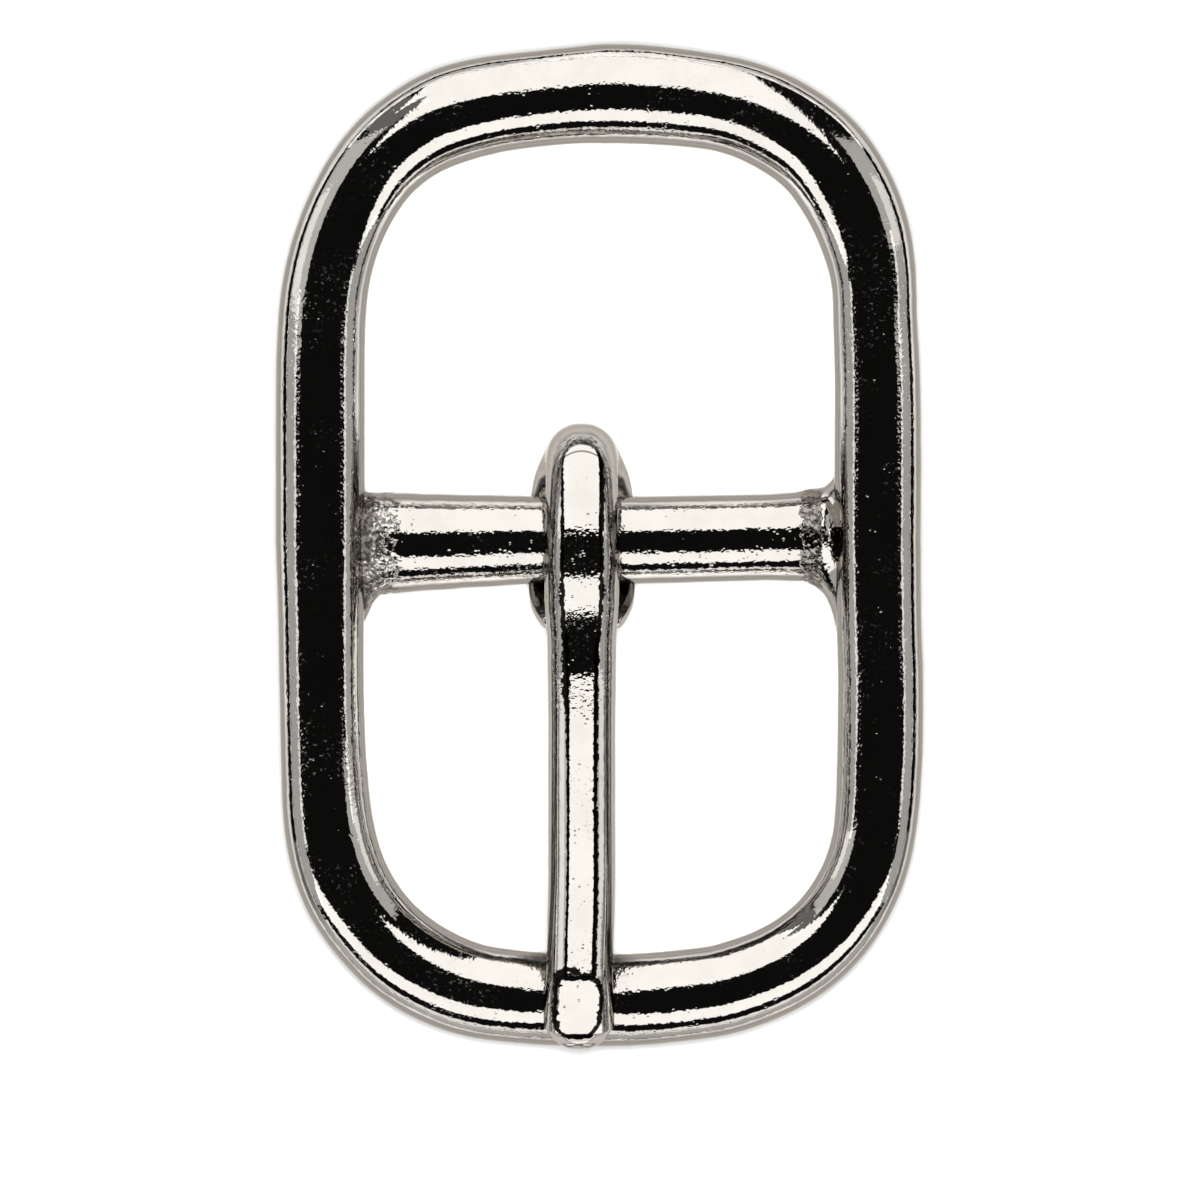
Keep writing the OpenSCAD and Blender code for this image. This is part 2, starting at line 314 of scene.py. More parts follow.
def weld_crust(f, weld):
    """Rough, pitted stretch along X: how far it covers the plate, its relief in millimetres, how grimy it is
    and how matt."""
    sign = 1 if weld["end"] > weld["start"] else -1
    along = f.axis("X") * (sign / MM)
    start, full, end = weld["start"] * sign, weld["full"] * sign, weld["end"] * sign
    zone = along.ramp(start, full) * (1 - along.ramp(end - 0.2, end + 0.2))
    lumps = f.noise(WAVES["weld_lumps"], 2, 0.6)
    crust = f.cells(WAVES["weld_crust"])
    spread = (zone + (lumps - 0.5) * 2.2).ramp(0.40, 0.60) * zone.ramp(0, 0.1)
    relief = spread * (lumps * WELD_LUMPS - (1 - crust.ramp(0.05, 0.5)) * WELD_CRUST)
    patches = f.noise(WAVES["grime"], 2, 0.6).ramp(0.42, 0.58)
    grime = spread * (weld["least_grime"] + patches * (weld["most_grime"] - weld["least_grime"]))
    burnt = along.ramp(weld["matt_from"] * sign, weld["matt_full"] * sign) * weld["matt"]
    return spread, relief, grime, burnt


def nickel_finish(name, ripple, pits, welds=(), reflection_line=0.75, edge=0.62, calm=None, dark_lined=False, flank_shade=FLANK_SHADE,
                  smooth_corners=False):
    """Bright nickel plate. ripple is the height of its unevenness and pits the depth of its pin holes, in
    millimetres. welds are its rough stretches. Its flanks, where the surface faces up less than edge, are
    painted darker as shade, with painted dark reflection lines as strong as reflection_line. Between the
    two places of calm along Y the ripple is low, and with smooth_corners it is halved in the ring's corners.
    With dark_lined the finish has dark lines beside its pressed flat and over its arch, painted shade
    where the surface turns, and one round the tip's facet, from the mesh's own distances to them."""
    f = Finish(name)
    height, broad, hole = plate_relief(f, ripple, pits, calm, smooth_corners)
    cloud = f.noise(WAVES["clouds"], 3, 0.6)
    patches = f.noise(WAVES["grain_patches"], 2).ramp(0.42, 0.60)
    grain = f.noise(WAVES["grain"], 2, 0.6).ramp(0.55, 0.70) * patches
    rough = 0.02 + cloud * 0.03 + hole * 0.15 + grain * 0.24
    colour = f.mix(cloud.ramp(0.35, 0.75) * 0.35, NICKEL, NICKEL_DEEP)
    # Painted shade on the flanks, with painted dark reflection lines along them
    colour = paint_flank_shade(f, colour, broad, reflection_line, edge, flank_shade)
    metal = 1.0
    for weld in welds:
        spread, relief, grime, burnt = weld_crust(f, weld)
        height = height + relief
        colour = f.mix(grime, colour, SOOT)
        rough = rough + spread * 0.05 + burnt
        metal = metal - burnt * 1.1
    # Dark lines painted beside the pressed flat and along its arch, shade where the surface turns, and a dark
    # line painted round the tip's facet
    if dark_lined:
        ragged = (f.noise(WAVES["dark_line"], 2, 0.6) - 0.5) * 3.4
        dark_line = 1 - (f.marked("dark_line") + ragged).ramp(0.85, 1.1)
        dark_line = dark_line.max((1 - f.marked("arch").abs().ramp(0.03, 0.07)) * 0.7)
        colour = f.mix(dark_line, colour, DARK_LINE_TONE)
        rough = rough + dark_line * 0.15
    return f.set(Base_Color=colour, Metallic=metal, Roughness=rough, Normal=f.bump(height, MM),
                 Specular_Tint=EDGE_TINT)


# The rough stretch at each end of the bar, with its places along X
LEFT_ROUGH = {"start": -10.1, "full": -12.9, "end": -14.5, "least_grime": 0.05, "most_grime": 0.85,
              "matt_from": -11.5, "matt_full": -12.9, "matt": 0.12}
RIGHT_ROUGH = {"start": 10.6, "full": 11.5, "end": 12.15, "least_grime": 0.55, "most_grime": 1.0,
               "matt_from": 10.6, "matt_full": 11.5, "matt": 0.0}
ring_plate = nickel_finish("ring_nickel_plate", 0.0098, 0.009, smooth_corners=True)
bar_plate = nickel_finish("bar_nickel_plate", 0.0125, 0.016, (LEFT_ROUGH, RIGHT_ROUGH))
tongue_plate = nickel_finish("tongue_nickel_plate", 0.013, 0.016, reflection_line=0.8, edge=0.68, calm=(-23.6, -8.0),
                             dark_lined=True, flank_shade=TONGUE_FLANK_SHADE)
left_weld_plate = nickel_finish("left_weld_nickel_plate", 0.015, 0.014, (LEFT_ROUGH,), reflection_line=0.4)
right_weld_plate = nickel_finish("right_weld_nickel_plate", 0.013, 0.014, (RIGHT_ROUGH,), reflection_line=0.15)


# ---------------------------------------------------------------- ring

# Middle of the side rails along X
RAIL_X = 15.28
# Each half of the ring: reach of the wire's middle from the bar, radius and angle of the crown's arc, length
# of the straight after it, and radius of the corner with the angle where it opens
TOP = {"reach": 24.47, "crown_r": 13.2, "crown": 2.8, "taper": 5.0, "corner_r": 9.15, "corner": 54.7}
BOTTOM = {"reach": 25.3, "crown_r": 41.6, "crown": 6.1, "taper": 1.5, "corner_r": 10.0, "corner": 55.3}
LOWER_RAIL_R = 2.53
# The upper crown lies a little to the right
APEX_X = 0.25
RING_SIDES = 80
RING_STEPS = {"crown": 3, "taper": 8, "corner": 34, "shoulder": 24, "rail": 22}
# How square the front of the wire is (2 is round), but round where the tongue lies on it, which is up to the
# first of two distances from the tongue's middle and fades by the second
RING_SQUARE, RING_SEAT = 2.28, (1.85, 2.1)

# How the bent wire runs along each quarter: distance from the crown, radius, and how far its middle lies
# outside the plain arcs
UPPER_RIGHT = [(0, 2.75, 0.04), (1.9, 2.74, 0.09), (4.4, 2.68, 0.0), (6.7, 2.65, -0.18), (9.8, 2.68, -0.26),
               (12.9, 2.67, -0.15), (15.5, 2.63, -0.14), (17.9, 2.53, -0.15), (20.3, 2.36, -0.17),
               (22.0, 2.32, -0.18), (26.0, 2.36, -0.04), (30.0, 2.39, -0.02), (34.8, 2.38, -0.03)]
UPPER_LEFT = [(0, 2.75, 0.04), (1.9, 2.66, 0.01), (4.4, 2.65, -0.12), (6.7, 2.69, -0.29), (8.8, 2.69, -0.28),
              (10.8, 2.58, -0.21), (12.9, 2.48, -0.09), (14.9, 2.40, 0.01), (18.7, 2.36, 0.03),
              (22.6, 2.41, 0.01), (25.5, 2.45, 0.08), (34.8, 2.46, 0.09)]
LOWER_RIGHT = [(0, 2.53, 0), (2.6, 2.53, -0.01), (5.9, 2.50, -0.05), (8.1, 2.48, -0.13), (10.2, 2.44, -0.07),
               (12.4, 2.38, 0.04), (14.5, 2.32, 0.12), (16.8, 2.28, 0.14), (19.0, 2.27, 0.07),
               (20.5, 2.30, 0.0), (22.0, 2.33, 0.02), (24.0, 2.36, 0.10), (28.0, 2.35, 0.13),
               (31.0, 2.34, 0.05), (35.6, 2.38, -0.03)]
LOWER_LEFT = [(0, 2.53, 0), (2.6, 2.53, 0.03), (5.9, 2.56, 0.02), (9.1, 2.59, -0.08), (11.3, 2.58, -0.10),
              (13.4, 2.53, -0.11), (16.0, 2.54, -0.07), (18.3, 2.51, -0.14), (20.5, 2.45, -0.21),
              (22.0, 2.41, -0.19), (24.0, 2.35, -0.08), (28.0, 2.33, 0.02), (32.0, 2.38, 0.05),
              (35.6, 2.46, 0.09)]


def quarter_path(end, half):
    """Points along a quarter of the ring from the crown to the bar, +Y towards its rail, with the lean of
    the outward normal from +Y in degrees."""
    crown, corner = math.radians(end["crown"]), math.radians(end["corner"])
    start = Vector((end["crown_r"] * math.sin(crown), end["reach"] - end["crown_r"] * (1 - math.cos(crown))))
    knee = start + end["taper"] * Vector((math.cos(crown), -math.sin(crown)))
    knee -= end["corner_r"] * Vector((math.sin(crown), math.cos(crown)))
    open_r = (half - knee.x - end["corner_r"] * math.sin(corner)) / (1 - math.sin(corner))
    shoulder = knee + (end["corner_r"] - open_r) * Vector((math.sin(corner), math.cos(corner)))
    top = Vector((0, end["reach"] - end["crown_r"]))
    arcs = []
    for centre, radius, first, last, steps in (
            (top, end["crown_r"], 0, end["crown"], RING_STEPS["crown"]),
            (knee, end["corner_r"], end["crown"], end["corner"], RING_STEPS["corner"]),
            (shoulder, open_r, end["corner"], 90, RING_STEPS["shoulder"])):
        turns = [lerp(first, last, i / steps) for i in range(steps + 1)]
        arcs.append([(centre + radius * lean(turn), turn) for turn in turns])
    steps = RING_STEPS["taper"]
    taper = [(arcs[0][-1][0].lerp(arcs[1][0][0], i / steps), end["crown"]) for i in range(1, steps)]
    steps = RING_STEPS["rail"]
    rail = [(Vector((half, shoulder.y * (1 - i / steps))), 90) for i in range(1, steps + 1)]
    return arcs[0] + taper + arcs[1][:-1] + arcs[2] + rail


def flatten_top(verts, middle, along, power):
    """Squares the upper half of round sections a little: along is the direction across the wire."""
    for v in verts:
        across, up = (v.co - middle).dot(along), v.co.z - middle.z
        size = math.hypot(across, up)
        if up > 0:
            flat = size * math.copysign(abs(across / size) ** (2 / power), across)
            v.co += along * (flat - across)
            v.co.z = middle.z + size * (up / size) ** (2 / power)


def quarter_rims(bm, end, half, side, y_sign, x_shift, shape):
    """Circles of wire along a quarter; side is the sign of X and y_sign that of Y. shape gives the wire's
    radius and shift along its run."""
    rims, run, last = [], 0.0, None
    for place, turn in quarter_path(end, half):
        run += (place - last).length if last else 0.0
        last = place
        middle = place + lean(turn) * spline(shape, run, 2)
        tangent = side * y_sign * turn
        spot = (x_shift + side * middle.x, BAR_Y + y_sign * middle.y, BAR_Z + RING_RISE)
        matrix = (Matrix.Translation(spot)
                  @ Matrix.Rotation(-math.radians(tangent), 4, "Z") @ Matrix.Rotation(math.pi / 2, 4, "Y"))
        made = bmesh.ops.create_circle(bm, cap_ends=False, radius=spline(shape, run), segments=RING_SIDES,
                                       matrix=matrix)
        centre = matrix.to_translation()
        power = RING_SQUARE
        if y_sign < 0:
            power = lerp(2.0, power, smoothstep(*RING_SEAT, abs(centre.x - TONGUE_X)))
        flatten_top(made["verts"], centre, matrix.to_3x3() @ Vector((0, 1, 0)), power)
        rims.append(circle_edges(made["verts"]))
    return rims


def make_ring():
    """The ring, clockwise from its crown, as one closed loop of circles."""
    bm = bmesh.new()
    loop = quarter_rims(bm, TOP, RAIL_X - APEX_X, 1, 1, APEX_X, UPPER_RIGHT)[:-1]
    loop += reversed(quarter_rims(bm, BOTTOM, RAIL_X, 1, -1, 0, LOWER_RIGHT))
    loop += quarter_rims(bm, BOTTOM, RAIL_X, -1, -1, 0, LOWER_LEFT)[1:-1]
    loop += reversed(quarter_rims(bm, TOP, RAIL_X + APEX_X, -1, 1, APEX_X, UPPER_LEFT)[1:])
    for first, second in zip(loop, loop[1:] + loop[:1]):
        bmesh.ops.bridge_loops(bm, edges=first + second)
    bare = [v for v in bm.verts if not v.link_faces]
    bmesh.ops.delete(bm, geom=bare, context="VERTS")
    bmesh.ops.recalc_face_normals(bm, faces=bm.faces)
    return bm


# ---------------------------------------------------------------- centre bar

# Radius of the bar along X
BAR_RADII = [(-13.6, 2.80), (-11.0, 2.74), (-9.3, 2.64), (-6.6, 2.53), (-4.4, 2.44), (-3.6, 2.40),
             (1.6, 2.40), (2.8, 2.39), (9.0, 2.36), (11.0, 2.44), (13.6, 2.70)]
BAR_HALF, BAR_STEPS, BAR_SIDES = 13.6, 136, 72
# Its rise per millimetre beyond the straight middle stretch, which the tongue needs
BAR_TILT, BAR_STRAIGHT = 0.022, (-4.2, 2.2)
# How square its front is, outside the tongue's eye, and how far it is rolled
BAR_SQUARE, BAR_SEAT, BAR_ROLL = 2.25, (1.75, 2.1), 7.0
END_DIP = 0.74


def bar_drift(x):
    """Sideways drift of the bar's middle, which runs a little uphill beyond the tongue."""
    low, high = BAR_STRAIGHT
    return BAR_TILT * (x - min(max(x, low), high))


def end_dip(x):
    """How far the front of the bar and its weld is drawn down towards the rail, as a factor."""
    return lerp(1.0, END_DIP, smoothstep(12.1, 13.4, abs(x)))


def make_bar():
    """The bar, as circles from left to right that are squared and rolled."""
    bm = bmesh.new()
    roll = Matrix.Rotation(math.radians(BAR_ROLL), 3, "X")
    rims = []
    for i in range(BAR_STEPS + 1):
        x = -BAR_HALF + 2 * BAR_HALF * i / BAR_STEPS
        middle = Vector((x, bar_drift(x), 0))
        place = Matrix.Translation(middle) @ Matrix.Rotation(math.pi / 2, 4, "Y")
        made = bmesh.ops.create_circle(bm, cap_ends=False, radius=smooth_table(BAR_RADII, x),
                                       segments=BAR_SIDES, matrix=place)
        power = lerp(2.0, BAR_SQUARE, smoothstep(*BAR_SEAT, abs(x - TONGUE_X)))
        flatten_top(made["verts"], middle, Vector((0, 1, 0)), power)
        for v in made["verts"]:
            v.co = middle + roll @ (v.co - middle)
            v.co.z *= end_dip(x) if v.co.z > 0 else 1.0
        rims.append(circle_edges(made["verts"]))
    skin(bm, rims)
    bmesh.ops.translate(bm, vec=(0, BAR_Y, BAR_Z), verts=bm.verts)
    return bm


# ---------------------------------------------------------------- weld beads

WELD_SIDES, WELD_STEPS = 144, 64

# Along X from the bar to the rail: place, swell of the collar over the bar, reach of the web below the bar
# and above it, and how lumpy the metal is
LEFT_WELD = [(10.6, -0.03, 0, 0, 0.0), (11.0, 0.0, 0, 0, 0.6), (11.6, 0.03, 0, 0, 1.0),
             (12.1, 0.0, 0.05, 0, 1.0), (12.5, 0.0, 0.55, 0, 0.8), (12.75, 0.02, 1.05, 0, 0.6),
             (13.0, 0.06, 1.55, 0.05, 0.4), (13.3, 0.12, 2.0, 0.10, 0.3), (13.5, 0.15, 2.3, 0.15, 0.2)]
RIGHT_WELD = [(10.8, -0.03, 0, 0, 0.0), (11.15, 0.03, 0.02, 0, 0.7), (11.6, 0.06, 0.12, 0, 1.0),
              (12.0, 0.04, 0.34, 0.02, 0.8), (12.3, 0.02, 0.62, 0.10, 0.3), (12.6, 0.03, 1.10, 0.26, 0.0),
              (12.85, 0.06, 1.80, 0.50, 0.0), (13.05, 0.10, 2.70, 0.75, 0.0), (13.3, 0.16, 3.6, 1.0, 0.0),
              (13.5, 0.20, 4.0, 1.1, 0.1)]
# How quickly the webs narrow away from the bar, how high the lumps are, and where the welds stand on the bar
WEB_TAPER = 3.0
LUMP_HEIGHT = 0.055
WELD_X = 12.5


def bead_height(p):
    """Lumpy relief of a weld at a point, from about -1 to 1."""
    return noise.noise(p * 1.7) + 0.7 * noise.noise(p * 3.9) + 0.5 * noise.noise(p * 8.5)


def make_weld(side, table):
    """Weld metal round one end of the bar: a lumpy collar that flares onto the rail and is drawn out into a
    web below and above. side is the sign of X. The mesh keeps how far each point is drawn into the web,
    where the finish paints the flank's shade."""
    bm = bmesh.new()
    web_shade = bm.verts.layers.float.new("web_shade")
    rims = []
    first, last = table[0][0], table[-1][0]
    for i in range(WELD_STEPS + 1):
        x = lerp(first, last, i / WELD_STEPS)
        swell, below, above, lumps = (spline(table, x, column) for column in (1, 2, 3, 4))
        radius = smooth_table(BAR_RADII, side * x) + swell
        place = Matrix.Translation((side * x, 0, 0)) @ Matrix.Rotation(math.pi / 2, 4, "Y")
        made = bmesh.ops.create_circle(bm, cap_ends=False, radius=radius, segments=WELD_SIDES, matrix=place)
        for v in made["verts"]:
            up = v.co.y / radius
            pull = above * max(up, 0.0) ** WEB_TAPER - below * max(-up, 0.0) ** WEB_TAPER
            v.co.y += pull
            # How far the point is drawn into a web, which gets the painted flank shade
            v[web_shade] = smoothstep(0.02, 0.25, pull) if pull > 0 else smoothstep(0.08, 0.45, -pull)
            lift = bead_height(v.co + Vector((7.0 * side, 3.0, 0))) * LUMP_HEIGHT * max(lumps, 0)
            v.co += Vector((0, v.co.y, v.co.z)).normalized() * lift
            v.co.z *= end_dip(v.co.x) if v.co.z > 0 else 1.0
        rims.append(circle_edges(made["verts"]))
    skin(bm, rims)
    bmesh.ops.translate(bm, vec=(0, BAR_Y + bar_drift(side * WELD_X), BAR_Z), verts=bm.verts)
    return bm


# ---------------------------------------------------------------- tongue

# The tongue is laid out from the side, in pairs of a place along Y and a height, both from the bar's axis.
# The wire's half depth, the height of its pressed flat over its middle, and its whole depth
WIRE_R = 1.85
FLAT = 1.706
DEPTH = WIRE_R + FLAT
# Front point over the bar, the arcs from it over the loop and its nose, and those down into the dip
HUMP = Vector((-0.45, 5.63))
LOOP_R, LOOP_TURN, NOSE_R = 8.0, 43.0, 3.95
FALL_R, FALL_TURN, DIP_R = 6.5, 21.5, 9.5
# The tip's underside lies REST_R from the lower rail's middle, and the shank's back SHANK_LIFT beyond that
SHANK_LIFT = 0.095
REST_R = LOWER_RAIL_R + 0.03
RAIL = Vector((-BOTTOM["reach"], RING_RISE))
# Where the tip bends down from the shank, where it ends, and its slope
RIDGE_Y, TIP_Y, TIP_SLOPE = -23.87, -27.74, 20.0
# The tab behind the bar: thickness, half width, turn round the bar and straight length beyond it
TAB_THICK, TAB_HALF, TAB_TURN, TAB_LENGTH = 0.87, 2.92, 50.0, 3.95
# Where its round end starts, and its half width at the very end
TAB_ROUND_FROM, TAB_END_HALF = -2.64, 0.3

loop_c = HUMP - Vector((0, LOOP_R))
nose_c = loop_c + (LOOP_R - NOSE_R) * lean(LOOP_TURN)
fall_c = HUMP - Vector((0, FALL_R))
dip_c = fall_c + (FALL_R + DIP_R) * lean(-FALL_TURN)
span = dip_c - RAIL
shank_reach = DIP_R + DEPTH + SHANK_LIFT + REST_R
SHANK_TURN = math.degrees(math.asin(shank_reach / span.length) - math.atan2(span.y, span.x))
shank_n = lean(SHANK_TURN)
shank_top = shank_n.dot(dip_c) - DIP_R
ridge = Vector((RIDGE_Y, (shank_top - RIDGE_Y * shank_n.x) / shank_n.y))
tip_n = lean(-TIP_SLOPE)
tip_top = tip_n.dot(ridge)
tip_under = tip_n.dot(RAIL) + REST_R
tip_down = Vector((-tip_n.y, tip_n.x))

# The tip's end: height of its flat over its middle, and the run and the drop of its rounded front and back
TIP_FLAT = 1.56
NOSE_ROUND, NOSE_DROP, HEEL_ROUND, HEEL_RISE = 1.5, 1.45, 0.8, 0.7
# Its outline seen from the front: where it ends, the run of its round end, and the same of the flat
TIP_END, PLAN_ROUND = -27.93, 1.9
FLAT_END, FLAT_ROUND = TIP_END + 0.35, 1.7
# How far the bend into the tip and the edges of the flat are rounded off
RIDGE_EASE = 0.16
FLAT_EASE = 0.10
# How much deeper than its cut-off front and back the tip's round section is
TIP_SWELL = 0.35

# Half width of the wire by its distance from the bar's axis
EYE_WIDTH = 1.98
WIDTHS = [(-25.4, 1.94), (-23.6, 1.82), (-20.0, 1.84), (-10.0, 1.84), (-6.0, 1.88), (-3.5, 2.05),
          (-1.5, 2.08), (1.5, EYE_WIDTH), (5.0, EYE_WIDTH)]
# Half depth of the round section in front, by the same distance: the deeper it is, the wider the flat
DEPTHS = [(-22.0, WIRE_R), (-7.5, WIRE_R), (-3.6, 1.93), (0.0, 1.97), (4.5, 1.97), (5.3, 1.87)]
# Where the flat rises into the round arch over the loop
ARCH_START, ARCH_END = 4.2, 5.3
# How square a section is: round wire, or the tab with its rolled edges
ROUND, SLAB = 2.0, 5.0


def flat_height(y):
    """Height of the front flat, which ends in a round arch over the loop."""
    return lerp(FLAT, WIRE_R, smoothstep(ARCH_START, ARCH_END, y))


def front_station(point, normal, depth):
    """Section of round wire with its front at point: middle, normal, half width, half depth, the heights
    where front and back are cut off, and how square it is."""
    return {"c": point - normal * FLAT, "n": normal, "w": smooth_table(WIDTHS, point.x),
            "h": spline(DEPTHS, point.x), "low": FLAT - depth, "high": flat_height(point.x), "square": ROUND}


def clear_depth(point, normal):
    """Depth of the wire below its front point, as far as the bar allows."""
    along = point.dot(normal)
    room = along * along - point.length_squared + BORE_R * BORE_R
    return min(DEPTH, along - math.sqrt(room)) if room > 0 else DEPTH


def tip_stations():
    """The rounded end, which is round wire pressed flat in front, then the bend over the rail into the
    shank."""
    rows = []
    end = Vector((TIP_Y, 0))
    end.y = (tip_top - TIP_FLAT - tip_n.x * end.x) / tip_n.y
    under = tip_under - tip_n.dot(end)
    contact = RAIL + REST_R * tip_n
    length = (end - contact).dot(tip_down)
    steps = 44
    for i in range(steps + 1):
        s = length * (1 - math.cos(math.radians(90 * i / steps)))
        top = TIP_FLAT - NOSE_DROP * (1 - round_edge(min(s / NOSE_ROUND, 1)))
        low = under + HEEL_RISE * (1 - round_edge(min(s / HEEL_ROUND, 1)))
        middle = end - tip_down * s
        half = (TIP_FLAT - low) / 2
        rows.append({"c": middle + tip_n * (TIP_FLAT - half), "n": tip_n, "w": smooth_table(WIDTHS, middle.x),
                     "h": max(half, 0.3) + TIP_SWELL, "low": -half, "high": half - (TIP_FLAT - top),
                     "square": ROUND, "end": True})
    steps = 48
    for i in range(1, steps + 1):
        t = i / steps
        n = lean(lerp(-TIP_SLOPE, SHANK_TURN, t))
        back = RAIL + REST_R * n
        to_shank = (shank_top - shank_n.dot(back)) / shank_n.dot(n)
        to_tip = (tip_top - tip_n.dot(back)) / tip_n.dot(n)
        depth = soft_min(to_shank, to_tip, RIDGE_EASE)
        ease = smoothstep(0.0, 1.0, t)
        high = lerp(depth / 2, FLAT, ease)
        rows.append({"c": back + n * (depth - high), "n": n, "w": smooth_table(WIDTHS, (back + n * depth).x),
                     "h": lerp(depth / 2 + TIP_SWELL, WIRE_R, ease), "low": high - depth, "high": high,
                     "square": ROUND})
    return rows


def shank_stations():
    """The straight shank, the dip in front of the bar, and the loop over it as far as the nose."""
    rows = []
    start = RAIL + (REST_R + DEPTH + SHANK_LIFT) * shank_n
    end = dip_c - DIP_R * shank_n
    steps = 60
    for i in range(1, steps):
        rows.append(front_station(start.lerp(end, i / steps), shank_n, DEPTH))
    steps = 24
    for i in range(steps + 1):
        n = lean(lerp(SHANK_TURN, -FALL_TURN, i / steps))
        rows.append(front_station(dip_c - DIP_R * n, n, DEPTH))
    for centre, radius, first, last, steps in ((fall_c, FALL_R, -FALL_TURN, 0, 16),
                                               (loop_c, LOOP_R, 0, LOOP_TURN, 30),
                                               (nose_c, NOSE_R, LOOP_TURN, 90, 24)):
        for i in range(1, steps + 1):
            n = lean(lerp(first, last, i / steps))
            point = centre + radius * n
            rows.append(front_station(point, n, clear_depth(point, n)))
    return rows


def slab(front, back, width, square):
    """Section that spans from a front point to a back point."""
    n = (front - back).normalized()
    half = (front - back).length / 2
    return {"c": (front + back) / 2, "n": n, "w": width, "h": half, "low": -half, "high": half,
            "square": square}


def eye_stations():
    """The rest of the eye from its nose on, where the round wire turns into the flat tab, the turn under the
    bar, and the tab's straight end."""
    rows = []
    nose = nose_c + NOSE_R * lean(90)
    inner, outer = nose.x - DEPTH, BORE_R + TAB_THICK
    steps, bulge = 44, 0.77
    for i in range(1, steps + 1):
        t = i / steps
        a = math.radians(90 * t)
        front = Vector((nose.x * math.cos(a) ** bulge, lerp(nose.y, -outer, math.sin(a) ** bulge)))
        r = lerp(inner, BORE_R, smoothstep(0, 0.7, t))
        back = Vector((r * math.cos(a), -r * math.sin(a) + nose.y * math.cos(a)))
        width = lerp(EYE_WIDTH, TAB_HALF, math.sin(a) ** 1.3)
        rows.append(slab(front, back, width, lerp(ROUND, SLAB, smoothstep(0.3, 1, t))))
    centre_r = (outer + BORE_R) / 2
    steps = 18
    for i in range(1, steps + 1):
        n = lean(180 + TAB_TURN * i / steps)
        rows.append(slab(n * outer, n * BORE_R, tab_half_width(n.x * centre_r), SLAB))
    n = lean(180 + TAB_TURN)
    along = Vector((n.y, -n.x))
    steps = 26
    for i in range(1, steps + 1):
        t = i / steps
        middle = along * (TAB_LENGTH * t) + n * centre_r
        # The last tenth of the length is rounded off
        thin = math.sqrt(max(1 - max(t - 0.90, 0) ** 2 / 0.0102, 0.0004))
        half = n * TAB_THICK / 2 * thin
        rows.append(slab(middle + half, middle - half, tab_half_width(middle.x), SLAB))
    return rows


def tab_half_width(y):
    """Half width of the tab behind the bar, whose end is round when seen from the front."""
    drop = max(TAB_ROUND_FROM - y, 0.0)
    return math.sqrt(max(TAB_HALF ** 2 - drop ** 2, TAB_END_HALF ** 2))


SECTION_SIDES = 144


def plan_outline(y, end, run):
    """Share of the width that is left at y, near a round end."""
    return round_edge(min(max((y - end) / run, 0.002), 1))


def section_shape(u, v, row):
    """Point of a section from a point (u, v) of the unit circle."""
    p = 2.0 / row["square"]
    x = row["w"] * math.copysign(abs(u) ** p, u)
    y = row["h"] * math.copysign(abs(v) ** p, v)
    if row["square"] < 4:  # wire, not yet tab
        y = soft_min(y, row["high"], FLAT_EASE)
        y = -soft_min(-y, -row["low"], FLAT_EASE)
    return x, y


# Width of the dark lines beside the flat, painted shade where the surface turns, left and right, by the
# distance from the bar's axis
DARK_LINE_WIDTHS = [(-23.9, 0.16, 0.26), (-12.0, 0.17, 0.24), (-9.5, 0.30, 0.24), (-8.0, 0.42, 0.26),
              (-6.0, 0.36, 0.24), (-2.5, 0.22, 0.24), (0.0, 0.18, 0.22), (3.0, 0.14, 0.28), (4.6, 0.12, 0.20),
              (5.2, 0.05, 0.05)]
# The pressed facet of the tip seen from the front: its left edge, the middle of its length, half width at
# the top and at the bottom, half length, how far its top edge falls to the right, and how square it is
FACET = {"left": -1.16, "middle": -25.49, "top": 1.18, "bottom": 1.04, "half": 1.60, "fall": 0.13,
         "square": 3.4}
# Half width of the dark line painted round the facet: at its left, at its right and at its foot
FACET_LINE = {"left": 0.16, "right": 0.125, "foot": 0.07}
FACET_FROM = -22.0
# Stands for a distance that is out of reach of any line
FAR_OFF = 9.0
# Crown of the arch that ends the flat over the loop, along which a line of painted shade runs, how it
# falls sideways, and how far it reaches
ARCH_Y, ARCH_FALL, ARCH_HALF = 4.86, 0.36, 1.15


def facet_distance(x, y):
    """How far a front point is from the edge of the tip's facet, in half widths of its dark line."""
    up = (y - FACET["middle"]) / FACET["half"]
    wide = lerp(FACET["bottom"], FACET["top"], min(max((up + 1) / 2, 0), 1))
    across = (x - FACET["left"] - wide) / wide
    up += across * FACET["fall"] * max(up, 0)
    power = FACET["square"]
    out = ((abs(across) ** power + abs(up) ** power) ** (1 / power) - 1) * wide
    half = FACET_LINE["left"] if across < 0 else FACET_LINE["right"]
    half = lerp(half, FACET_LINE["foot"], smoothstep(0.6, 1.0, -up))
    return abs(out - half) / half if out < 0.8 else FAR_OFF


def dark_line_distance(x, y, row):
    """How far a front point is from the nearest dark line, in half widths of that line: x from the middle
    of the wire, y along it."""
    facet = facet_distance(x, y) if y < FACET_FROM else FAR_OFF
    beside = FAR_OFF
    if DARK_LINE_WIDTHS[0][0] <= y <= DARK_LINE_WIDTHS[-1][0]:
        ratio = min(row["high"] / row["h"], 1.0)
        flat = row["w"] * math.sqrt(1 - ratio * ratio)
        width = spline(DARK_LINE_WIDTHS, y, 1 if x < 0 else 2)
        beside = abs(abs(x) - flat - width * 0.35) / (width / 2)
    return min(facet, beside, FAR_OFF)


def tongue_drift(y):
    """The tip is set a little to the left of the eye."""
    return -0.15 * smoothstep(18, 26, -y)


